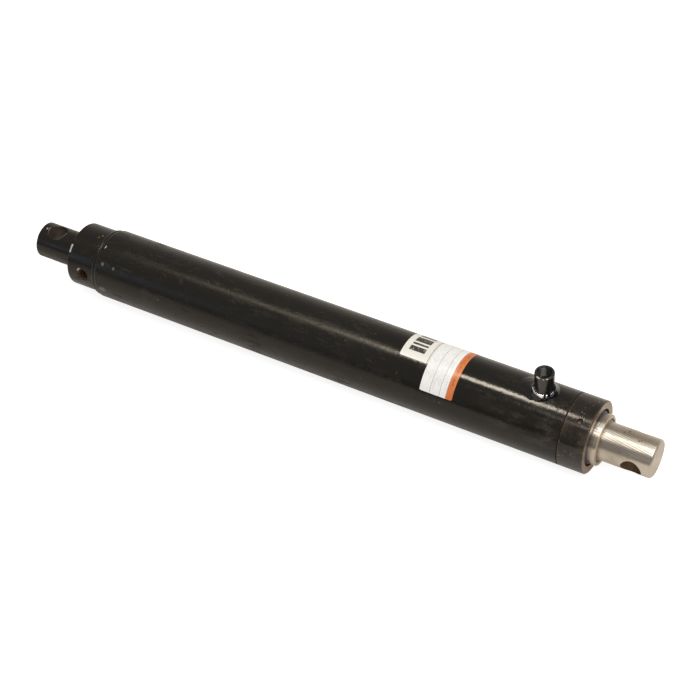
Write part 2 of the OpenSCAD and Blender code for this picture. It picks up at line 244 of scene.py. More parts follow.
def cut(mesh, *cutters):
    """The mesh less the cutters."""
    face_outward(mesh)
    obj = new_object("cut", mesh)
    tools = []
    for cutter in cutters:
        face_outward(cutter)
        tools.append(new_object("cutter", cutter))
        modifier = obj.modifiers.new("cut", "BOOLEAN")
        modifier.operation = "DIFFERENCE"
        modifier.solver = "EXACT"
        modifier.object = tools[-1]
    bpy.context.view_layer.update()
    depsgraph = bpy.context.evaluated_depsgraph_get()
    result = bpy.data.meshes.new_from_object(obj.evaluated_get(depsgraph))
    for done in [obj] + tools:
        bpy.data.objects.remove(done)
    return result


def hole_ring(radius, depth, host_r, steps=72):
    """Ring of a radial hole that follows a round host's surface, depth below it."""
    ring = []
    for t in full_turn(steps):
        y = radius * math.sin(t)
        ring.append(Vector((radius * math.cos(t), y, math.sqrt(host_r ** 2 - y ** 2) - depth)))
    return ring


def flat_ring(radius, z, steps=72):
    """Level ring of a radial hole."""
    return [Vector((radius * math.cos(t), radius * math.sin(t), z)) for t in full_turn(steps)]


def placed(rings, x, angle):
    """Rings that stand along +Z, turned to an angle about the cylinder at place x."""
    place = Matrix.Translation((x, 0, 0)) @ turn_x(angle)
    return [[place @ p for p in ring] for ring in rings]


def cross_cutter(x, angle, radius, host_r, bevel):
    """Cutter for a hole right across a round bar, with its edges broken."""
    half = [
        flat_ring(radius + 2 * bevel, host_r + 5 * MM),
        hole_ring(radius + 2 * bevel, -bevel, host_r),
        hole_ring(radius + 0.5 * bevel, 0.35 * bevel, host_r),
        hole_ring(radius, bevel, host_r),
    ]
    mirrored = [[Vector((p.x, p.y, -p.z)) for p in ring] for ring in reversed(half)]
    return loft(placed(half + mirrored, x, angle), closed=False)


def blind_cutter(x, angle, radius, host_r, depth, bevel):
    """Cutter for a blind hole in a round body, with a drilled point."""
    rings = [
        flat_ring(radius + 2 * bevel, host_r + 5 * MM),
        hole_ring(radius + 2 * bevel, -bevel, host_r),
        hole_ring(radius, bevel, host_r),
        flat_ring(radius, host_r - depth),
        flat_ring(radius * 0.05, host_r - depth - radius * 0.55),
    ]
    return loft(placed(rings, x, angle), closed=False)


def helix(x, angle, top):
    """Thread ridge inside a port whose mouth is at height top."""
    pitch = 1.411 * MM
    turns = 8.5
    per_turn = 40
    foot = 0.48 * pitch
    start = top - 0.9 * MM
    rings = []
    for i in range(int(turns * per_turn) + 1):
        t = 2 * math.pi * i / per_turn
        fade = min(1, i / 14, (turns * per_turn - i) / 14)
        crest = PORT_ROOT_R - (PORT_ROOT_R - PORT_CREST_R) * fade
        z = start - pitch * i / per_turn
        section = [
            (PORT_ROOT_R + 0.08 * MM, z + foot), (crest, z + 0.06 * pitch),
            (crest, z - 0.06 * pitch), (PORT_ROOT_R + 0.08 * MM, z - foot),
        ]
        rings.append([Vector((r * math.cos(t), r * math.sin(t), h)) for r, h in section])
    return loft(placed(rings, x, angle), closed=False)


# ---- Material helpers ----

class Nodes:
    """A node tree in the making. Its methods add nodes and return their outputs."""

    def __init__(self, tree):
        self.tree = tree
        tree.nodes.clear()

    def node(self, kind, **settings):
        new = self.tree.nodes.new(kind)
        for key, value in settings.items():
            setattr(new, key, value)
        return new

    def feed(self, socket, value):
        if isinstance(value, bpy.types.NodeSocket):
            self.tree.links.new(value, socket)
        else:
            socket.default_value = value

    def parts(self, vector):
        """X, Y and Z of a vector."""
        new = self.node("ShaderNodeSeparateXYZ")
        self.feed(new.inputs[0], vector)
        return new.outputs

    def math(self, operation, *values):
        new = self.node("ShaderNodeMath", operation=operation)
        for socket, value in zip(new.inputs, values):
            self.feed(socket, value)
        return new.outputs[0]

    def chain(self, operation, values):
        """One operation carried along a row of values."""
        result = values[0]
        for value in values[1:]:
            result = self.math(operation, result, value)
        return result

    def times(self, *values):
        return self.chain("MULTIPLY", values)

    def plus(self, *values):
        return self.chain("ADD", values)

    def minus(self, a, b):
        return self.math("SUBTRACT", a, b)

    def either(self, *masks):
        """Largest of some masks."""
        return self.chain("MAXIMUM", masks)

    def length(self, a, b):
        """Length of a vector with these two parts."""
        return self.math("SQRT", self.plus(self.times(a, a), self.times(b, b)))

    def bearing(self, a, b):
        """Angle in degrees from the direction of b towards the direction of a."""
        return self.times(self.math("ARCTAN2", a, b), 180 / math.pi)

    def ramp(self, value, low, high, to_low=0.0, to_high=1.0):
        """Smooth step from to_low at low to to_high at high."""
        new = self.node("ShaderNodeMapRange", interpolation_type="SMOOTHSTEP")
        for index, number in enumerate((value, low, high, to_low, to_high)):
            self.feed(new.inputs[index], number)
        return new.outputs[0]

    def band(self, value, low, high, soft):
        """1 between low and high, fading over soft on both sides."""
        return self.times(self.ramp(value, low - soft, low),
                          self.ramp(value, high, high + soft, 1.0, 0.0))

    def mix(self, share, a, b):
        """Colour a to colour b by share."""
        new = self.node("ShaderNodeMix", data_type="RGBA")
        self.feed(new.inputs["Factor"], share)
        self.feed(new.inputs[6], (*a, 1) if isinstance(a, tuple) else a)
        self.feed(new.inputs[7], (*b, 1) if isinstance(b, tuple) else b)
        return new.outputs[2]


class Finish(Nodes):
    """A piece's material in the making."""

    def __init__(self, name, base, roughness, metallic=0.0):
        self.material = bpy.data.materials.new(name)
        self.material.use_nodes = True
        super().__init__(self.material.node_tree)
        out = self.node("ShaderNodeOutputMaterial")
        self.shader = self.node("ShaderNodeBsdfPrincipled")
        self.feed(out.inputs["Surface"], self.shader.outputs[0])
        self.put("Base Color", (*base, 1))
        self.put("Roughness", roughness)
        self.put("Metallic", metallic)
        self.place = self.node("ShaderNodeTexCoord").outputs["Object"]
        self.x, self.y, self.z = self.parts(self.place)

    def put(self, name, value):
        self.feed(self.shader.inputs[name], value)

    def texture(self, place, scale, detail, roughness=0.5):
        """Noise from 0 to 1 at a place."""
        new = self.node("ShaderNodeTexNoise")
        self.feed(new.inputs["Vector"], place)
        self.feed(new.inputs["Scale"], scale)
        self.feed(new.inputs["Detail"], detail)
        self.feed(new.inputs["Roughness"], roughness)
        return new.outputs[0]

    def noise(self, scale, detail=3.0, roughness=0.55, stretch=(1, 1, 1), shift=0.0):
        """Noise from 0 to 1. scale is in features a metre, and stretch multiplies it."""
        mapping = self.node("ShaderNodeMapping")
        self.feed(mapping.inputs["Vector"], self.place)
        self.feed(mapping.inputs["Scale"], stretch)
        self.feed(mapping.inputs["Location"], (shift, shift * 0.7, shift * 1.3))
        return self.texture(mapping.outputs[0], scale, detail, roughness)

    def angle(self):
        """Angle about the cylinder, in degrees."""
        return self.bearing(self.times(self.y, -1.0), self.z)

    def radius(self):
        """Distance from the cylinder's axis."""
        return self.length(self.y, self.z)

    def spot(self, point, size, ragged=0.5, long=1.0):
        """Ragged spot round a point, long times as long along X as across."""
        mapping = self.node("ShaderNodeMapping", vector_type="TEXTURE")
        self.feed(mapping.inputs["Vector"], self.place)
        self.feed(mapping.inputs["Location"], point)
        self.feed(mapping.inputs["Scale"], (size * long, size, size))
        reach = self.node("ShaderNodeVectorMath", operation="LENGTH")
        self.feed(reach.inputs[0], mapping.outputs[0])
        wobble = self.minus(self.noise(0.9 / size, 3, 0.6), 0.5)
        rim = self.plus(reach.outputs["Value"], self.times(wobble, ragged * 2))
        return self.ramp(rim, 0.8, 1.05, 1.0, 0.0)

    def bump(self, height, depth, under=None):
        """Surface normal from a height from 0 to 1, depth metres deep."""
        new = self.node("ShaderNodeBump")
        self.feed(new.inputs["Strength"], 1.0)
        self.feed(new.inputs["Distance"], depth)
        self.feed(new.inputs["Height"], height)
        if under is not None:
            self.feed(new.inputs["Normal"], under)
        return new.outputs[0]

    def brushed(self, amount):
        """Spreads reflections along the cylinder, as marks that run round it do."""
        along = self.node("ShaderNodeCombineXYZ")
        self.feed(along.inputs[0], 1.0)
        world = self.node("ShaderNodeVectorTransform", vector_type="VECTOR",
                          convert_from="OBJECT", convert_to="WORLD")
        self.feed(world.inputs[0], along.outputs[0])
        self.put("Anisotropic", amount)
        self.put("Tangent", world.outputs[0])

    def turning_marks(self, pitch, depth, under=None):
        """Fine marks that run round the cylinder."""
        marks = self.noise(1 / pitch, 2, 0.6, stretch=(1, 0.012, 0.012))
        return self.bump(marks, depth, under)


# ---- Materials ----

PAINT = (0.0065, 0.0062, 0.0056)
PAINT_TINT = (1.0, 0.93, 0.82, 1.0)
BARE = (0.42, 0.37, 0.30)
RUST = (0.19, 0.085, 0.035)
DUST = (0.20, 0.17, 0.135)
SOOT = (0.002, 0.002, 0.002)
SHADOW = (0.0015, 0.0015, 0.0015)
BRIGHT_STEEL = (0.64, 0.565, 0.475)


def black_paint(name, marks=(), dusty=0.5):
    """Gloss black paint over drawn steel, scuffed and dusty, chipped at given marks.

    Each mark is (point, size, length, colour)."""
    f = Finish(name, PAINT, 0.2)
    cloud = f.noise(9, 4, 0.6)
    scuff = f.noise(50, 6, 0.72, stretch=(1, 2.0, 2.0), shift=3.0)
    grain = f.noise(900, 2, 0.5, shift=5.0)
    film = f.times(f.ramp(scuff, 0.52, 0.74), f.ramp(cloud, 0.42, 0.62))
    specks = f.ramp(f.noise(300, 2, 0.5, shift=9.0), 0.715, 0.755)
    specks = f.times(specks, f.ramp(cloud, 0.38, 0.6))
    soot = f.noise(70, 5, 0.75, stretch=(0.4, 2, 2), shift=11.0)
    soot = f.times(f.ramp(soot, 0.55, 0.62), f.ramp(f.noise(7, 2, 0.5, shift=13.0), 0.46, 0.58))
    hair = f.noise(95, 4, 0.6, stretch=(0.35, 3.5, 3.5), shift=23.0)
    hair = f.times(f.ramp(hair, 0.66, 0.70), f.ramp(cloud, 0.45, 0.6))
    rub = f.times(f.ramp(scuff, 0.44, 0.70), f.ramp(f.x, 0.50, 0.57),
                  f.band(f.angle(), 0.0, 75.0, 18.0))
    colour = f.mix(f.times(film, 0.16 * dusty), PAINT, DUST)
    colour = f.mix(f.times(rub, 0.34 * dusty), colour, DUST)
    colour = f.mix(f.times(hair, 0.30 * dusty), colour, DUST)
    colour = f.mix(f.times(specks, 0.8 * dusty), colour, DUST)
    colour = f.mix(f.times(soot, 0.9 * dusty), colour, SOOT)
    dull = f.either(f.times(film, 0.5), f.times(rub, 0.16), f.times(soot, 1.2))
    rough = f.ramp(f.plus(dull, f.times(grain, 0.25)), 0.0, 0.9, 0.12, 0.42)
    satin = f.ramp(f.x, 0.46, 0.36, 0.0, 0.20)
    rough = f.plus(rough, f.times(satin, f.ramp(scuff, 0.30, 0.62, 1.0, 0.25)))
    ticks = f.noise(330, 3, 0.6, stretch=(1, 0.4, 0.4), shift=21.0)
    swell = f.noise(38, 2, 0.5, stretch=(1, 1.6, 1.6), shift=1.0)
    beads = f.noise(210, 2, 0.55, stretch=(1, 0.5, 0.5), shift=17.0)
    height = f.plus(f.times(grain, 0.12), f.times(ticks, 1.3),
                    f.times(f.noise(170, 2, 0.5, shift=1.0), 1.1),
                    f.times(swell, f.ramp(f.x, 0.44, 0.52, 2.6, 1.5)),
                    f.times(beads, f.ramp(f.x, 0.40, 0.50, 0.5, 2.4)))
    seam = f.ramp(f.x, SEAM_X - 1.1 * MM, SEAM_X - 0.4 * MM)
    colour = f.mix(seam, colour, SHADOW)
    rough = f.either(rough, f.times(seam, 0.7))
    for point, size, length, tone in marks:
        mask = f.spot(on_cylinder(*point), size, 0.5, length)
        colour = f.mix(mask, colour, tone)
        rough = f.either(rough, f.times(mask, 0.5))
        height = f.minus(height, f.times(mask, 1.2))
    f.put("Base Color", colour)
    f.put("Roughness", rough)
    f.put("Specular IOR Level", 0.42)
    f.put("Specular Tint", PAINT_TINT)
    f.put("Normal", f.turning_marks(0.9 * MM, 0.016 * MM, f.bump(height, 0.05 * MM)))
    return f


def boss_satin():
    """Smooth satin paint of the boss, chipped to primer along the front of its rim."""
    f = Finish("boss_paint", (0.016, 0.0145, 0.0135), 0.25)
    fine = f.noise(420, 4, 0.65, shift=3.0)
    cloud = f.noise(90, 4, 0.6, shift=7.0)
    radius = f.length(f.minus(f.x, BOSS_X), f.y)
    rim = f.times(f.band(f.z, BOSS_TOP - 1.1 * MM, BOSS_TOP + 1 * MM, 0.3 * MM),
                  f.ramp(radius, BOSS_R - 1.1 * MM, BOSS_R - 0.7 * MM))
    chips = [f.spot((BOSS_X - 2.6 * MM, -8.6 * MM, BOSS_TOP - 0.3 * MM), 1.1 * MM, 0.6, 2.2),
             f.spot((BOSS_X + 5.8 * MM, -7.0 * MM, BOSS_TOP - 0.2 * MM), 0.8 * MM, 0.5, 1.2),
             f.spot((BOSS_X + 2.4 * MM, -8.8 * MM, BOSS_TOP - 0.6 * MM), 0.5 * MM, 0.7, 2.6)]
    chips = f.times(f.either(*chips), rim)
    colour = f.mix(f.ramp(cloud, 0.35, 0.7), (0.0080, 0.0074, 0.0070), (0.0058, 0.0053, 0.0050))
    f.put("Base Color", f.mix(chips, colour, (0.60, 0.53, 0.42)))
    rough = f.ramp(cloud, 0.3, 0.7, 0.16, 0.20)
    f.put("Roughness", f.either(rough, f.times(chips, 0.5)))
    bore = f.times(f.ramp(radius, PORT_MOUTH_R + 0.1 * MM, PORT_MOUTH_R - 0.3 * MM),
                   f.ramp(f.z, BOSS_TOP - 0.2 * MM, BOSS_TOP - 0.6 * MM))
    f.put("Specular IOR Level", f.ramp(bore, 0.0, 1.0, 0.85, 0.22))
    f.put("Specular Tint", PAINT_TINT)
    height = f.minus(f.times(fine, 0.3), chips)
    f.put("Normal", f.bump(height, 0.012 * MM))
    return f.material


def weld_enamel():
    """Thick glossy paint over the boss's weld, with painted highlights: bright tinted metal
    patches along the front of its bead and along its toe, where lamp glints fall."""
    black = (0.0055, 0.0055, 0.0058)
    f = Finish("weld_enamel", black, 0.1)
    cloud = f.noise(60, 4, 0.6)
    fine = f.noise(420, 3, 0.6, shift=3.0)
    away = f.minus(f.x, BOSS_X)
    way = f.bearing(f.y, away)
    # Painted glints: bright metal patches along the front of the bead's crest, where the lamps'
    # highlights fall.
    crest = f.times(f.band(f.length(away, f.y), 10.2 * MM, 11.0 * MM, 0.3 * MM),
                    f.ramp(f.z, BEAD_Z - 2.7 * MM, BEAD_Z - 1.5 * MM),
                    f.ramp(f.noise(260, 3, 0.6, shift=6.0), 0.28, 0.40),
                    f.band(way, -150.0, -22.0, 14.0))
    # Painted highlight lines along the weld's toe, on the front and on the far right side.
    toe_highlight = f.band(f.minus(f.radius(), BARREL_R), 0.10 * MM, 0.36 * MM, 0.08 * MM)
    front = f.band(way, -112.0, -18.0, 10.0)
    behind = f.times(f.band(way, 15.0, 58.0, 10.0), 0.8)
    toe_highlight = f.times(toe_highlight, f.either(front, behind))
    # Painted highlights: the crest glints and toe lines together become bright tinted metal.
    bare = f.either(crest, toe_highlight)
    glint_tint = f.mix(f.ramp(f.noise(150, 2, 0.5, shift=12.0), 0.48, 0.62), (0.95, 0.90, 0.87),
                 (0.72, 0.80, 0.95))
    dusty = f.mix(f.ramp(cloud, 0.5, 0.7, 0, 0.05), black, DUST)
    f.put("Base Color", f.mix(bare, dusty, glint_tint))
    f.put("Metallic", bare)
    f.put("Roughness", f.ramp(cloud, 0.3, 0.7, 0.07, 0.16))
    f.put("Specular IOR Level", 0.45)
    lumps = f.plus(f.noise(190, 2, 0.5, shift=4.0), f.times(fine, 0.2))
    f.put("Normal", f.bump(lumps, 0.16 * MM))
    return f.material


def base_paint():
    """Paint of the base end: worn on the collar's corner and round both holes, with the
    pin hole's wall bare and brown, and the port's mouth rusty."""
    f = black_paint("base_paint", BASE_MARKS, dusty=0.4)
    painted = f.shader.inputs["Base Color"].links[0].from_socket
    rough = f.shader.inputs["Roughness"].links[0].from_socket
    coarse = f.noise(90, 3, 0.6, shift=19.0)
    radius = f.radius()
    rubbed = f.times(f.ramp(f.x, COLLAR_X + 0.9 * MM, COLLAR_X + 0.3 * MM),
                     f.ramp(radius, COLLAR_R - 1.0 * MM, COLLAR_R - 0.5 * MM),
                     f.ramp(coarse, 0.46, 0.6), 0.28)
    patch = f.times(f.ramp(f.x, COLLAR_X + 2.4 * MM, COLLAR_X + 1.7 * MM),
                    f.ramp(radius, COLLAR_R - 1.2 * MM, COLLAR_R - 0.7 * MM),
                    f.band(f.angle(), 33.0, 47.0, 1.2), f.ramp(coarse, 0.30, 0.42))
    rim = f.times(f.ramp(f.x, TIP_X + 0.8 * MM, TIP_X + 0.4 * MM),
                  f.ramp(radius, LUG_R - 0.9 * MM, LUG_R - 0.5 * MM),
                  f.ramp(coarse, 0.46, 0.56, 0.0, 0.8))
    hole = f.length(f.x, f.y)
    wall = f.ramp(hole, PIN_HOLE_R + 0.12 * MM, PIN_HOLE_R + 0.02 * MM)
    edge = f.band(hole, PIN_HOLE_R + 0.1 * MM, PIN_HOLE_R + 0.7 * MM, 0.1 * MM)
    edge = f.times(edge, f.ramp(coarse, 0.50, 0.60, 0.0, 0.55))
    chip = on_cylinder(BASE_PORT_X - 4.2 * MM, BASE_PORT_ANGLE - 8, COLLAR_R)
    mouth = f.times(f.spot(chip, 2.6 * MM), 0.75)
    brown = f.mix(f.ramp(coarse, 0.3, 0.7), (0.19, 0.155, 0.13), (0.30, 0.25, 0.215))
    bright = f.either(patch, rubbed, rim, edge, mouth)
    colour = f.mix(bright, painted, (0.55, 0.50, 0.42))
    f.put("Base Color", f.mix(wall, colour, brown))
    f.put("Metallic", f.times(wall, 0.8))
    f.put("Roughness", f.either(rough, f.times(f.either(bright, wall), 0.36)))
    return f.material


def worn_gland():
    """Thin black paint that has worn to rusty steel at the edges and to a bare face."""
    f = Finish("worn_gland", PAINT, 0.3)
    radius = f.radius()
    blotch = f.noise(70, 5, 0.65)
    fine = f.noise(420, 3, 0.6, shift=2.0)
    along = f.plus(f.x, f.times(f.minus(blotch, 0.5), 2.4 * MM))
    gap = f.ramp(f.x, SEAM_X + 0.75 * MM, SEAM_X + 0.45 * MM)
    seam = f.times(f.band(along, SEAM_X + 0.6 * MM, SEAM_X + 1.1 * MM, 0.35 * MM),
                   f.ramp(f.noise(55, 4, 0.6, shift=15.0), 0.42, 0.58),
                   f.ramp(fine, 0.38, 0.55, 0.25, 1.0))
    lip = f.ramp(along, GLAND_FACE_X - 1.9 * MM, GLAND_FACE_X - 0.7 * MM)
    face = f.ramp(f.x, GLAND_FACE_X - 0.12 * MM, GLAND_FACE_X - 0.04 * MM)
    inside = f.ramp(radius, WIPER_SEAT_R + 0.3 * MM, WIPER_SEAT_R + 0.7 * MM, 1.0, 0.0)
    holes = [f.spot(on_cylinder(SPANNER_X, angle), 4.3 * MM, 0.25) for angle in SPANNER_ANGLES]
    ring = f.times(f.either(*holes), f.ramp(fine, 0.42, 0.62, 0.0, 0.6))
    floors = [f.spot(on_cylinder(SPANNER_X, angle, BARREL_R - SPANNER_DEPTH), 4.5 * MM, 0.0)
              for angle in SPANNER_ANGLES]
    patches = f.times(f.ramp(f.noise(40, 5, 0.7, shift=4.0), 0.60, 0.72), 0.5)
    brown = f.mix(f.ramp(fine, 0.3, 0.7), (0.045, 0.026, 0.017), (0.13, 0.066, 0.034))
    paint = f.mix(f.ramp(blotch, 0.3, 0.75), (0.0085, 0.0075, 0.0065), (0.026, 0.019, 0.014))
    specks = f.ramp(f.noise(260, 3, 0.55, shift=7.0), 0.655, 0.70)
    dusty = f.times(f.ramp(f.noise(38, 5, 0.7, shift=8.0), 0.46, 0.64),
                    f.band(f.angle(), 24.0, 95.0, 16.0))
    paint = f.mix(f.times(dusty, 0.16), paint, DUST)
    paint = f.mix(f.times(specks, 0.6), paint, (0.30, 0.27, 0.23))
    rusty = f.either(seam, f.times(lip, 0.45), ring, patches)
    colour = f.mix(rusty, paint, brown)
    colour = f.mix(gap, colour, SHADOW)
    colour = f.mix(f.times(f.either(*floors), 0.9), colour, (0.15, 0.115, 0.085))
    steel = f.mix(f.ramp(fine, 0.35, 0.75), (0.40, 0.35, 0.30), (0.22, 0.16, 0.12))
    bare = f.either(face, inside)
    f.put("Base Color", f.mix(bare, colour, steel))
    f.put("Metallic", f.times(bare, 0.85))
    rough = f.ramp(blotch, 0.3, 0.75, 0.10, 0.22)
    worn = f.times(f.either(rusty, gap), 0.55)
    f.put("Roughness", f.either(rough, worn, f.times(bare, 0.33)))
    f.put("Specular Tint", PAINT_TINT)
    height = f.plus(fine, f.times(rusty, 0.8))
    f.put("Normal", f.turning_marks(0.7 * MM, 0.010 * MM, f.bump(height, 0.02 * MM)))
    return f.material


def ground_steel(name, base, roughness, rust=()):
    """Turned and ground steel with fine marks round it, light stains and rust specks, and dark
    hatch lines painted only across its lit band.
    """
    f = Finish(name, base, roughness, 1.0)
    stain = f.noise(28, 5, 0.65)
    streak = f.noise(1500, 2, 0.6, stretch=(1, 0.02, 0.02))
    colour = f.mix(f.ramp(stain, 0.45, 0.75), base, tuple(c * 0.78 for c in base))
    colour = f.mix(f.ramp(streak, 0.5, 0.8, 0.0, 0.35), colour, tuple(c * 0.7 for c in base))
    rough = f.ramp(stain, 0.3, 0.8, roughness - 0.03, roughness + 0.12)
    spots = [f.spot(on_cylinder(*at), size, 0.6, long) for at, size, long in rust]
    if spots:
        mask = f.either(*spots)
        colour = f.mix(mask, colour, RUST)
        rough = f.either(rough, f.times(mask, 0.75))
        f.put("Metallic", f.ramp(mask, 0.2, 0.8, 1.0, 0.1))
    lead = f.times(f.x, 0.17 / PLUNGER_R)
    turned = f.minus(f.times(f.angle(), math.radians(1)), lead)
    wander = f.times(f.noise(25, 2, 0.5, stretch=(0.3, 1, 1), shift=33.0), 5.0)
    chatter = f.math("SINE", f.math("MULTIPLY_ADD", turned, 58.0, wander))
    faint = f.ramp(f.noise(60, 3, 0.6, stretch=(0.25, 1, 1), shift=31.0), 0.3, 0.55)
    # Painted darkening of the highlight: the dark hatch lines are painted only across the band
    # where the lamps' highlight falls, over real grinding marks.
    lit = f.band(f.angle(), 4.0, 46.0, 12.0)
    lines = f.times(f.ramp(chatter, 0.30, 0.95), faint, lit)
    colour = f.mix(f.times(lines, 0.85), colour, tuple(c * 0.40 for c in base))
    f.put("Base Color", colour)
    f.put("Roughness", rough)
    hatch = f.bump(f.times(chatter, faint), 0.006 * MM)
    f.put("Normal", f.turning_marks(0.35 * MM, 0.006 * MM, hatch))
    f.brushed(0.85)
    return f.material


def head_steel():
    """Turned steel of the sleeve's head, browned along its front edge."""
    f = Finish("head_steel", BRIGHT_STEEL, 0.3, 1.0)
    fine = f.noise(380, 4, 0.6)
    along = f.plus(f.x, f.times(f.minus(fine, 0.5), 1.6 * MM))
    brown = f.times(f.ramp(along, HEAD_FACE_X - 0.9 * MM, HEAD_FACE_X - 0.4 * MM),
                    f.ramp(f.radius(), HEAD_R - 1.4 * MM, HEAD_R - 0.7 * MM))
    stain = f.ramp(f.noise(30, 4, 0.6), 0.4, 0.8, 0, 0.5)
    colour = f.mix(stain, BRIGHT_STEEL, (0.44, 0.38, 0.31))
    f.put("Base Color", f.mix(f.times(brown, 0.45), colour, (0.34, 0.25, 0.17)))
    f.put("Metallic", f.ramp(brown, 0.0, 1.0, 1.0, 0.3))
    f.put("Roughness", f.ramp(brown, 0.0, 1.0, 0.3, 0.55))
    f.put("Normal", f.turning_marks(0.4 * MM, 0.006 * MM))
    f.brushed(0.85)
    return f.material


def plain_finish(name, base, roughness, metallic=0.0):
    """Even finish with slight mottling and a fine grain, for small and inner pieces."""
    f = Finish(name, base, roughness, metallic)
    cloud = f.noise(70, 4, 0.6)
    f.put("Base Color", f.mix(f.ramp(cloud, 0.35, 0.7), base, tuple(c * 0.75 for c in base)))
    f.put("Roughness", f.ramp(cloud, 0.2, 0.8, roughness * 0.85, roughness * 1.2))
    f.put("Normal", f.bump(f.noise(350, 3, 0.6, shift=2.0), 0.02 * MM))
    return f.material


def wiper_blue():
    """Blue urethane, painted dark as shade in the mouth round it, except along a narrow ring that
    shows blue.
    """
    f = Finish("blue_urethane", (0.03, 0.032, 0.24), 0.4)
    blue_ring = f.band(f.radius(), SLEEVE_R + 1.9 * MM, SLEEVE_R + 3.1 * MM, 0.4 * MM)
    shade_mottle = f.ramp(f.noise(300, 3, 0.6), 0.3, 0.7)
    # Painted shade: outside the narrow ring the wiper is mottled dark grey, standing in for the
    # shade in the mouth it sits in.
    painted_shade = f.mix(shade_mottle, (0.012, 0.011, 0.012), (0.035, 0.032, 0.045))
    f.put("Base Color", f.mix(blue_ring, painted_shade, (0.032, 0.034, 0.27)))
    f.put("Normal", f.bump(f.noise(350, 3, 0.6, shift=2.0), 0.01 * MM))
    return f.material


def rusty_bore():
    """Rusty thread inside a port."""
    f = Finish("rusty_bore", RUST, 0.6)
    fine = f.noise(500, 4, 0.65)
    colour = f.mix(f.ramp(fine, 0.40, 0.7), (0.016, 0.010, 0.007), (0.20, 0.085, 0.03))
    f.put("Base Color", f.mix(f.ramp(fine, 0.66, 0.74), colour, (0.42, 0.34, 0.24)))
    f.put("Metallic", 0.25)
    f.put("Normal", f.bump(fine, 0.12 * MM))
    return f.material


def label_film(name, print_of, white):
    """White adhesive film, slightly yellowed and rubbed, with generic print."""
    f = Finish(name, (0.74, 0.73, 0.69), 0.32)
    cloud = f.noise(45, 4, 0.6)
    film = f.mix(f.ramp(cloud, 0.3, 0.75), white, tuple(c * 0.97 for c in white))
    f.put("Base Color", print_of(f, film))
    f.put("Roughness", f.ramp(cloud, 0.3, 0.7, 0.26, 0.4))
    f.put("Normal", f.bump(f.noise(220, 2, 0.5), 0.02 * MM))
    return f.material


INK = (0.035, 0.033, 0.03)
RULE_GREY = (0.05, 0.05, 0.05)
BARS = ((-84, 9), (-71, 4), (-62, 12), (-46, 3), (-39, 7), (-27, 14), (-9, 4), (-1, 9))


def number_print(f, film):
    """A row of bold bars of different widths across the number label, and a border line."""
    low, high = span("number_label")
    width = high - low
    tall = f.band(f.x, low + 0.20 * width, high - 0.26 * width, 0.1 * MM)
    bars = f.either(*[f.band(f.angle(), start, start + wide, 0.3) for start, wide in BARS])
    line = f.band(f.x, high - 1.6 * MM, high - 1.2 * MM, 0.08 * MM)
    worn = f.ramp(f.noise(400, 3, 0.6), 0.2, 0.45)
    ink = f.times(f.either(f.times(tall, bars), line), worn)
    return f.mix(ink, film, INK)


def notice_print(f, film):
    """Rows of fine grey dashes, two rules, and an orange band with darker dashes."""
    low, high = span("notice_label")
    width = high - low
    row = 1.15 * MM
    arc = f.times(f.angle(), math.radians(1) * BARREL_R)
    across = f.minus(f.x, low + 0.8 * MM)
    lines = f.ramp(f.math("PINGPONG", across, row / 2), 0.17 * row, 0.29 * row)
    index = f.math("FLOOR", f.math("DIVIDE", across, row))
    at = f.node("ShaderNodeCombineXYZ")
    f.feed(at.inputs[0], f.times(arc, 900.0))
    f.feed(at.inputs[1], f.times(index, 7.3))
    marks = f.ramp(f.texture(at.outputs[0], 1.0, 1.0), 0.40, 0.50)
    short = f.noise(230, 1, 0.5, stretch=(1, 0.02, 0.02), shift=27.0)
    row_end = f.math("MULTIPLY_ADD", short, 60.0, 12.0)
    margin = f.ramp(f.minus(row_end, f.angle()), 0.0, 1.0)
    body = f.band(f.x, low + 0.9 * MM, low + 0.76 * width, 0.05 * MM)
    dashes = f.times(lines, marks, margin, body)
    rules = f.either(*[
        f.band(f.x, low + share * width - 0.15 * MM, low + share * width + 0.15 * MM, 0.06 * MM)
        for share in (0.308, 0.602, 0.795)
    ])
    colour = f.mix(f.times(dashes, 0.34), film, (0.22, 0.22, 0.23))
    orange = f.ramp(f.x, low + 0.80 * width, low + 0.805 * width)
    warm = f.mix(f.ramp(f.noise(60, 4, 0.6, shift=6.0), 0.3, 0.7), (0.72, 0.205, 0.055),
                 (0.62, 0.165, 0.045))
    colour = f.mix(orange, colour, warm)
    middle = f.band(f.x, low + 0.865 * width, low + 0.935 * width, 0.1 * MM)
    wide = f.times(middle, f.ramp(f.texture(at.outputs[0], 0.45, 0.0), 0.46, 0.54),
                   f.band(f.angle(), -60.0, 40.0, 0.3))
    colour = f.mix(f.times(wide, 0.55), colour, (0.20, 0.075, 0.035))
    return f.mix(f.times(rules, 0.8), colour, RULE_GREY)


# ---- Pieces on the barrel ----

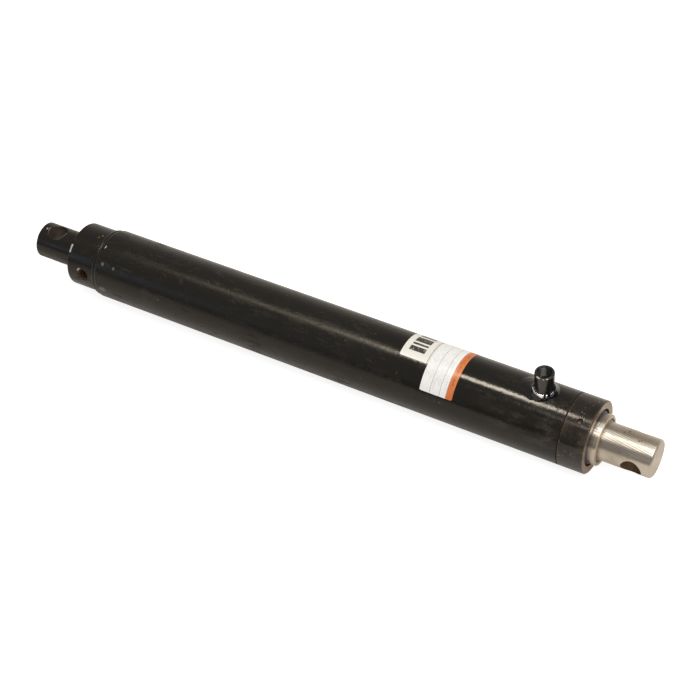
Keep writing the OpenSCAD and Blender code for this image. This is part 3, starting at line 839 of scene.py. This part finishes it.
def make_barrel(paint, end_paint, weld_paint, bore):
    tube = lathe([
        (TUBE_START_X, BARREL_BORE_R, 0), (WELD_END_X, BARREL_R, 0.3 * MM),
        (SEAM_X - 0.5 * MM, BARREL_R, 0.25 * MM), (SEAM_X, BARREL_R - 0.5 * MM, 0.2 * MM),
        (SEAM_X, BARREL_BORE_R, 0.2 * MM),
    ])
    oilway = loft(placed([flat_ring(OILWAY_R, BARREL_BORE_R - 3 * MM),
                          flat_ring(OILWAY_R, BARREL_R + 3 * MM)], BOSS_X, 0), closed=False)
    finish_mesh("barrel_skin", cut(tube, oilway), "barrel", paint,
                ["barrel_tube"])

    end = lathe([
        (TIP_X, 0.2 * MM, 0), (TIP_X, LUG_R - 0.4 * MM, 0.2 * MM),
        (TIP_X + 0.4 * MM, LUG_R, 0.2 * MM), (COLLAR_X, LUG_R, 0.25 * MM),
        (COLLAR_X, COLLAR_R - 0.35 * MM, 0.15 * MM), (COLLAR_X + 0.35 * MM, COLLAR_R, 0.15 * MM),
        (COLLAR_END_X, COLLAR_R, 0.2 * MM), (COLLAR_END_X + 2.5 * MM, BARREL_BORE_R, 0),
        (BASE_FACE_X - 1 * MM, BARREL_BORE_R, 0.3 * MM),
        (BASE_FACE_X, BARREL_BORE_R - 1 * MM, 0.3 * MM), (BASE_FACE_X, 0.2 * MM, 0),
    ], solid=True)
    pin_hole = cross_cutter(0, 0, PIN_HOLE_R, LUG_R, 0.45 * MM)
    port = loft(placed(
        [flat_ring(PORT_MOUTH_R + 3 * MM, COLLAR_R + 3 * MM),
         hole_ring(PORT_MOUTH_R + 0.4 * MM, -0.4 * MM, COLLAR_R),
         hole_ring(PORT_ROOT_R, PORT_MOUTH_R - PORT_ROOT_R + 0.3 * MM, COLLAR_R),
         flat_ring(PORT_ROOT_R, COLLAR_R - PORT_DEPTH),
         flat_ring(OILWAY_R, COLLAR_R - PORT_DEPTH - (PORT_ROOT_R - OILWAY_R) * 0.5),
         flat_ring(OILWAY_R, 0)], BASE_PORT_X, BASE_PORT_ANGLE), closed=False)
    passage = loft([circle(BASE_PORT_X - OILWAY_R, OILWAY_R, 48),
                    circle(BASE_FACE_X + 3 * MM, OILWAY_R, 48)], closed=False)
    finish_mesh("base_end_turned", cut(end, pin_hole, port, passage), "barrel",
                end_paint, ["base_end"])
    finish_mesh("base_port_thread", helix(BASE_PORT_X, BASE_PORT_ANGLE, COLLAR_R), "barrel",
                bore)
    make_base_weld(weld_paint)


def make_base_weld(paint):
    """Two weld runs side by side round the joint, each with a shallow ripple."""
    around = 480
    across = 22
    middle = 0.52
    crowns = (1.15 * MM, 0.62 * MM)
    ripples = 84
    rings = []
    for j in range(across + 1):
        s = j / across
        x = COLLAR_END_X + (WELD_END_X - COLLAR_END_X) * s
        base_r = COLLAR_R + (BARREL_R - COLLAR_R) * s
        local = s / middle if s < middle else (s - middle) / (1 - middle)
        hump = math.sin(math.pi * local)
        crown = crowns[0] if s < middle else crowns[1]
        ring = []
        for t in full_turn(around):
            wander = noise.noise(Vector((4 * math.cos(t), 4 * math.sin(t), s * 2)))
            ripple = math.sin(t * ripples + 2.2 * hump + 5 * wander)
            r = base_r + hump * (crown + 0.10 * MM * ripple + 0.16 * MM * wander)
            r = min(r, BARREL_R)
            ring.append((x + 0.25 * MM * wander * hump, r * math.cos(t), r * math.sin(t)))
        rings.append(ring)
    rings.append(circle(TUBE_START_X, BARREL_BORE_R, around))
    rings.append(circle(COLLAR_END_X + 2.5 * MM, BARREL_BORE_R, around))
    finish_mesh("base_weld_bead", loft(rings, closed=True), "barrel", paint,
                ["base_weld"], sharp=60)


def saddle_height(y):
    """Height of the barrel's outer surface at that distance to the side."""
    return math.sqrt(BARREL_R ** 2 - y ** 2)


def make_boss(paint, weld_paint):
    """Head port: the boss with its threaded bore, and the weld round its foot."""
    steps = 96
    rim = 0.7 * MM
    foot_sink = 0.2 * MM
    outline = [(BOSS_R, 45 * MM), (BOSS_R, BOSS_TOP - 1.6 * rim)]
    for i in range(7):
        t = math.pi / 2 * i / 6
        outline.append((BOSS_R - rim * (1 - math.cos(t)), BOSS_TOP - rim * (1 - math.sin(t))))
    outline += [
        (PORT_MOUTH_R + 0.35 * MM, BOSS_TOP), (PORT_MOUTH_R + 0.08 * MM, BOSS_TOP - 0.1 * MM),
        (PORT_ROOT_R + 0.1 * MM, BOSS_TOP - 0.95 * MM), (PORT_ROOT_R, BOSS_TOP - 1.2 * MM),
        (PORT_ROOT_R, BOSS_TOP - PORT_DEPTH), (OILWAY_R, BOSS_TOP - PORT_DEPTH - 1 * MM),
    ]
    rings = [hole_ring(BOSS_R, foot_sink, BARREL_R, steps)]
    rings += [flat_ring(radius, z, steps) for radius, z in outline]
    rings.append(hole_ring(OILWAY_R, foot_sink, BARREL_R, steps))
    rings = placed(rings, BOSS_X, 0)
    finish_mesh("head_port_boss", loft(rings, closed=True), "barrel", paint,
                ["port_boss"])
    thread = plain_finish("dark_thread", (0.006, 0.006, 0.006), 0.22)
    finish_mesh("head_port_thread", helix(BOSS_X, 0, BOSS_TOP), "barrel", thread)
    make_boss_weld(weld_paint)


def make_boss_weld(paint):
    """Weld round the boss: a level bead high on its side, over a mound that spreads
    furthest towards the base and the far side and ends in a low step."""
    around = 256
    across = 44
    start = BOSS_R - 0.2 * MM
    shoulder = BOSS_R + 1.3 * MM
    mound_z = BEAD_Z - 1.6 * MM
    toe_height = 0.55 * MM
    bead_height = 2.3 * MM
    bead_w = 1.9 * MM
    pit = Vector((11.4 * MM, -2.6 * MM))
    pit_r = 1.5 * MM
    rings = []
    for j in range(across + 1):
        s = (j / across) ** 1.35
        ring = []
        for t in full_turn(around):
            way = Vector((math.cos(t), math.sin(t)))
            reach = mound_reach(way)
            reach *= 1 + 0.035 * noise.noise(Vector((3 * way.x, 3 * way.y, 4.0)))
            d = start + (reach - start) * s
            x = d * way.x
            y = d * way.y
            down = min(max((d - shoulder) / (reach - shoulder), 0), 1)
            fall = (1 - down) ** (0.9 + 0.8 * max(0, -way.x))
            swell = (mound_z - saddle_height(BOSS_R * way.y)) * fall
            swell += toe_height * (1 - s ** 9) * min(1, 3 * s)
            out = (d - BOSS_R - BEAD_D) / bead_w
            run = noise.noise(Vector((2.2 * way.x, 2.2 * way.y, 9.0)))
            ripple = 1 + 0.05 * math.sin(30 * t + 2.5 * out) + 0.16 * run
            swell += bead_height * math.exp(-abs(out) ** 2.6) * ripple
            gap = (Vector((x, y)) - pit).length / pit_r
            swell += 1.0 * MM * math.exp(-(gap - 1) ** 2 * 3) - 0.8 * MM * math.exp(-gap * gap * 2)
            swell += 0.22 * MM * noise.noise(Vector((x, y, 0)) * 260) * (1 - s)
            ring.append(Vector((BOSS_X + x, y, saddle_height(y) + swell - 0.03 * MM)))
        rings.append(ring)
    under = [
        [Vector((p.x, p.y, saddle_height(p.y) - 0.25 * MM)) for p in ring]
        for ring in (rings[-1], rings[0])
    ]
    finish_mesh("head_port_weld", loft(rings + under, closed=True), "barrel",
                paint, ["port_weld"], sharp=60)


def mound_reach(way):
    """Distance from the boss's axis to the mound's oval edge in one direction."""
    centre = Vector((-6.4 * MM, 4.4 * MM))
    half = Vector((19.4 * MM, 17.3 * MM))
    a = (way.x / half.x) ** 2 + (way.y / half.y) ** 2
    b = -2 * (way.x * centre.x / half.x ** 2 + way.y * centre.y / half.y ** 2)
    c = (centre.x / half.x) ** 2 + (centre.y / half.y) ** 2 - 1
    return (-b + math.sqrt(b * b - 4 * a * c)) / (2 * a)


def make_label(name, node, first, last, material):
    """Thin film bent round the barrel from one angle to another, with round corners."""
    low, high = span(node)
    thick = 0.12 * MM
    corner = 1.2 * MM
    steps = 120
    rings = []
    for i in range(steps + 1):
        angle = first + (last - first) * i / steps
        arc = math.radians(min(angle - first, last - angle)) * BARREL_R
        inset = corner - math.sqrt(max(corner ** 2 - max(corner - arc, 0) ** 2, 0))
        ring = []
        for x, lift in ((low + inset, 0), (low + inset, 1), (high - inset, 1), (high - inset, 0)):
            ring.append(on_cylinder(x, angle, BARREL_R + (0.01 * MM + thick * lift)))
        rings.append(ring)
    finish_mesh(name, loft(rings, closed=False), "barrel", material, [node])


def make_gland(material):
    mouth_floor_x = span("gland_wiper")[0]
    bore_r = SLEEVE_R + 0.1 * MM
    back_x = GLAND_BACK_X + 0.1 * MM
    ring = lathe([
        (back_x, bore_r, 0.3 * MM), (back_x, BARREL_BORE_R, 0.5 * MM),
        (SEAM_X, BARREL_BORE_R, 0), (SEAM_X, BARREL_R - 0.5 * MM, 0.2 * MM),
        (SEAM_X + 0.5 * MM, BARREL_R, 0.25 * MM), (GLAND_FACE_X - 0.8 * MM, BARREL_R, 0.4 * MM),
        (GLAND_FACE_X, BARREL_R - 0.8 * MM, 0.4 * MM),
        (GLAND_FACE_X, WIPER_SEAT_R + 0.4 * MM, 0.2 * MM),
        (GLAND_FACE_X - 0.5 * MM, WIPER_SEAT_R, 0.2 * MM), (mouth_floor_x, WIPER_SEAT_R, 0.1 * MM),
        (mouth_floor_x, bore_r, 0.1 * MM),
    ])
    holes = [blind_cutter(SPANNER_X, angle, SPANNER_R, BARREL_R, SPANNER_DEPTH, 0.3 * MM)
             for angle in SPANNER_ANGLES]
    finish_mesh("gland_body", cut(ring, *holes), "barrel", material,
                ["gland_nut"])


def make_wiper(name, node, body, material, lip_r, seat_r):
    """Wiper ring with a thin lip that leans on the moving surface."""
    low, high = span(node)
    length = high - low
    depth = seat_r - lip_r
    ring = lathe([
        (low, lip_r + 0.15 * depth, 0.1 * MM), (low, seat_r, 0.1 * MM),
        (low + 0.45 * length, seat_r, 0.15 * MM),
        (low + 0.45 * length, lip_r + 0.62 * depth, 0.3 * MM),
        (high - 0.1 * MM, lip_r + 0.42 * depth, 0.2 * MM), (high, lip_r + 0.06 * MM, 0.1 * MM),
        (high - 0.4 * length, lip_r + 0.3 * depth, 0.2 * MM),
    ], steps=192)
    finish_mesh(name, ring, body, material, [node])


# ---- Moving stages ----

def make_sleeve(steel, head):
    start_x = span("sleeve_tube")[0]
    tube = lathe([
        (start_x, SLEEVE_BORE_R, 0.3 * MM), (start_x, SLEEVE_R, 0.4 * MM),
        (HEAD_X, SLEEVE_R, 0.2 * MM), (HEAD_X, SLEEVE_BORE_R, 0),
    ])
    finish_mesh("sleeve_barrel", tube, "sleeve", steel, ["sleeve_tube"])
    mouth_floor_x = span("head_wiper")[0]
    bore_r = PLUNGER_R + 0.1 * MM
    back_x = HEAD_BACK_X + 0.1 * MM
    ring = lathe([
        (back_x, bore_r, 0.3 * MM), (back_x, SLEEVE_BORE_R, 0.3 * MM),
        (HEAD_X, SLEEVE_BORE_R, 0), (HEAD_X, HEAD_R, 0.35 * MM),
        (HEAD_FACE_X - 0.8 * MM, HEAD_R, 0.4 * MM), (HEAD_FACE_X, HEAD_R - 0.8 * MM, 0.4 * MM),
        (HEAD_FACE_X, HEAD_SEAT_R + 0.3 * MM, 0.15 * MM),
        (HEAD_FACE_X - 0.4 * MM, HEAD_SEAT_R, 0.15 * MM), (mouth_floor_x, HEAD_SEAT_R, 0.1 * MM),
        (mouth_floor_x, bore_r, 0.1 * MM),
    ])
    finish_mesh("sleeve_head_turned", ring, "sleeve", head, ["sleeve_head"])


def make_plunger(steel):
    start_x, tip_x = span("plunger_rod")
    bar = lathe([
        (start_x, 0.2 * MM, 0), (start_x, PLUNGER_R - 1 * MM, 0.3 * MM),
        (start_x + 1 * MM, PLUNGER_R, 0.4 * MM), (tip_x - 1.6 * MM, PLUNGER_R, 1.0 * MM),
        (tip_x, PLUNGER_R - 1.6 * MM, 0.6 * MM), (tip_x, 0.2 * MM, 0),
    ], solid=True)
    hole = cross_cutter(PLUNGER_PIN_X, PLUNGER_PIN_ANGLE, PIN_HOLE_R, PLUNGER_R, 0.3 * MM)
    finish_mesh("plunger_bar", cut(bar, hole), "plunger", steel, ["plunger_rod"])


# ---- The whole object ----

GREY = (0.11, 0.10, 0.09)
BARREL_MARKS = [
    ((73.6 * MM, 18.9), 2.0 * MM, 0.8, (0.62, 0.58, 0.50)),
    ((79 * MM, 47), 2.2 * MM, 0.9, GREY), ((93 * MM, 48.7), 1.9 * MM, 0.8, GREY),
    ((79.3 * MM, 95), 3.6 * MM, 1.3, (0.16, 0.135, 0.115)),
]
BASE_MARKS = [
    ((-13 * MM, 5, LUG_R), 1.3 * MM, 0.7, BARE),
    ((60.8 * MM, -3.8, COLLAR_R), 1.4 * MM, 0.8, RUST),
    ((58.2 * MM, 2.8, COLLAR_R), 0.9 * MM, 1.0, RUST),
]
ROD_RUST = [
    ((651.2 * MM, -4.9, PLUNGER_R), 1.0 * MM, 1), ((655.3 * MM, -14.8, PLUNGER_R), 1.4 * MM, 1),
    ((669.4 * MM, 5, PLUNGER_R), 1.2 * MM, 1), ((667.2 * MM, 6.9, PLUNGER_R), 0.8 * MM, 1.5),
]

paint = black_paint("black_paint", BARREL_MARKS).material
weld_paint = black_paint("weld_paint", dusty=0.25).material
rod_steel = ground_steel("rod_steel", (0.66, 0.585, 0.49), 0.35, ROD_RUST)
sleeve_steel = ground_steel("sleeve_steel", (0.66, 0.60, 0.53), 0.24)
amber = plain_finish("amber_urethane", (0.34, 0.28, 0.20), 0.4)

make_barrel(paint, base_paint(), weld_paint, rusty_bore())
make_boss(boss_satin(), weld_enamel())
make_label("number_sticker", "number_label", -88, 21.4,
           label_film("number_film", number_print, (0.78, 0.765, 0.70)))
make_label("notice_sticker", "notice_label", -78, 62.4,
           label_film("notice_film", notice_print, (0.90, 0.895, 0.885)))
make_gland(worn_gland())
make_wiper("gland_wiper_ring", "gland_wiper", "barrel", wiper_blue(),
           SLEEVE_R + 0.05 * MM, WIPER_SEAT_R)
make_sleeve(sleeve_steel, head_steel())
make_wiper("head_wiper_ring", "head_wiper", "sleeve", amber,
           PLUNGER_R + 0.05 * MM, HEAD_SEAT_R)
make_plunger(rod_steel)

INNER = {
    plain_finish("nitrile", (0.012, 0.012, 0.012), 0.55): ["gland_o_ring", "head_o_ring"],
    plain_finish("nylon_band", (0.60, 0.52, 0.36), 0.45): [
        "gland_wear_band", "sleeve_guide_band", "head_wear_band"],
    plain_finish("seal_urethane", (0.04, 0.07, 0.33), 0.35): ["gland_seal", "head_seal"],
    ground_steel("turned_steel", (0.50, 0.48, 0.45), 0.28): [
        "sleeve_guide_ring", "sleeve_stop_ring"],
    plain_finish("spring_steel", (0.16, 0.155, 0.15), 0.35, 1.0): [
        "sleeve_snap_rings", "sleeve_stop_snap_ring", "plunger_snap_rings"],
    ground_steel("bearing_bronze", (0.62, 0.40, 0.16), 0.25): ["plunger_guide_ring"],
}
for finish, names in INNER.items():
    for name in names:
        slots = frame["nodes"][name].data.materials
        slots.clear()
        slots.append(finish)


# ---- Stage ----

def make_floor():
    size = 12.0
    mesh = bpy.data.meshes.new("floor")
    mesh.from_pydata([(-size, -size, FLOOR_Z), (size, -size, FLOOR_Z), (size, size, FLOOR_Z),
                      (-size, size, FLOOR_Z)], [], [(0, 1, 2, 3)])
    obj = new_object("floor", mesh)
    f = Finish("floor_white", (0.50, 0.50, 0.50), 0.9)
    f.put("Specular IOR Level", 0.0)
    seen = f.node("ShaderNodeLightPath").outputs["Is Camera Ray"]
    f.put("Emission Color", f.mix(seen, (1.0, 0.87, 0.72), (1.0, 1.0, 1.0)))
    f.put("Emission Strength", f.math("MULTIPLY_ADD", seen, 0.60, 0.26))
    mesh.materials.append(f.material)


def make_light(name, low, high, height, radiance, colour=(1, 1, 1)):
    """Level softbox over the rectangle from low to high, facing down."""
    data = bpy.data.lights.new(name, "AREA")
    data.shape = "RECTANGLE"
    data.size = high[0] - low[0]
    data.size_y = high[1] - low[1]
    data.energy = 4 * radiance * data.size * data.size_y
    data.color = colour
    obj = new_object(name, data)
    obj.location = ((low[0] + high[0]) / 2, (low[1] + high[1]) / 2, height)


def make_world():
    """Dim room for reflections: brighter low behind, darker low in front, and a bluish
    window low on the left. The camera itself sees a plain pale backdrop."""
    world = bpy.data.worlds.new("studio")
    bpy.context.scene.world = world
    world.use_nodes = True
    n = Nodes(world.node_tree)
    x, y, z = n.parts(n.node("ShaderNodeTexCoord").outputs["Generated"])
    behind = n.times(n.ramp(z, 0.6, 0.0), n.ramp(y, 0.1, 0.7))
    front = n.times(n.ramp(z, 0.42, 0.15), n.ramp(y, -0.4, -0.7))
    window = n.times(n.ramp(z, 0.17, 0.26), n.ramp(z, 0.50, 0.40),
                     n.ramp(x, -0.475, -0.515), n.ramp(y, -0.6, -0.7))
    room = n.mix(behind, (0.36, 0.34, 0.315), (0.66, 0.595, 0.52))
    room = n.mix(front, room, (0.22, 0.21, 0.20))
    room = n.mix(window, room, (0.58, 0.78, 1.20))
    seen = n.node("ShaderNodeLightPath").outputs["Is Camera Ray"]
    sky = n.node("ShaderNodeBackground")
    n.feed(sky.inputs["Color"], n.mix(seen, room, (1.0, 1.0, 1.0)))
    out = n.node("ShaderNodeOutputWorld")
    n.feed(out.inputs["Surface"], sky.outputs[0])


def make_camera():
    """Camera at azimuth 33 and elevation 46 degrees, rolled a little."""
    at = Vector((1.0007, -0.9756, 1.1934))
    right = Vector((0.86827, 0.49183, -0.06486))
    up = Vector((-0.31401, 0.64609, 0.69567))
    data = bpy.data.cameras.new("camera")
    data.lens = 86.09
    data.sensor_width = 36
    data.clip_end = 100
    obj = new_object("camera", data)
    back = right.cross(up)
    axes = Matrix((right, up, back)).transposed().to_4x4()
    obj.matrix_world = Matrix.Translation(at) @ axes
    bpy.context.scene.camera = obj


bpy.context.scene.view_settings.view_transform = "Standard"
make_floor()
make_world()
make_light("streak", (-0.10, -0.19), (0.20, 0.06), 1.55, 16, (1.0, 0.96, 0.88))
make_light("streak_wing", (-0.62, -0.19), (-0.10, 0.06), 1.55, 2.3, (1.0, 0.90, 0.74))
make_light("second_streak", (0.16, -0.80), (0.42, -0.60), 1.50, 2.2)
make_light("overhead_back", (0.42, -0.10), (1.90, 0.85), 1.60, 1.5)
make_light("overhead_front", (0.42, -1.05), (1.90, -0.10), 1.60, 2.7)
make_camera()
